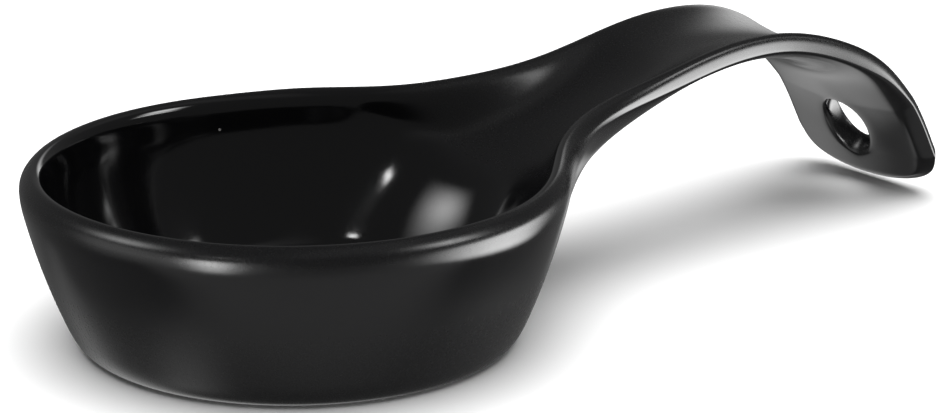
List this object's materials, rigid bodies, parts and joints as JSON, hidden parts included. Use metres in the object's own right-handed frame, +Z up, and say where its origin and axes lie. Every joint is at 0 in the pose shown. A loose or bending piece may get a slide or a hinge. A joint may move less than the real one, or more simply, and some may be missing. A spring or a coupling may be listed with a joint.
{
  "type": "handled ladle rest",
  "caption": "Round glossy ladle rest: a shallow bowl with a thick rounded rim, its handle arching up out of the wall and curling down to the table, with an oval hanging hole near the tip.",
  "frame": {"origin": "middle of the whole length and width, on the plane the bowl stands on", "axes": "+X from the bowl towards the tip of the handle, +Y across, +Z up; the dish is mirrored about the plane y = 0"},
  "size_m": [0.2282, 0.114, 0.046],
  "materials": {
    "black_gloss": "hard, smooth, high gloss black moulding"
  },
  "bodies": {
    "root": {"dish": "black_gloss"}
  },
  "joints": []
}
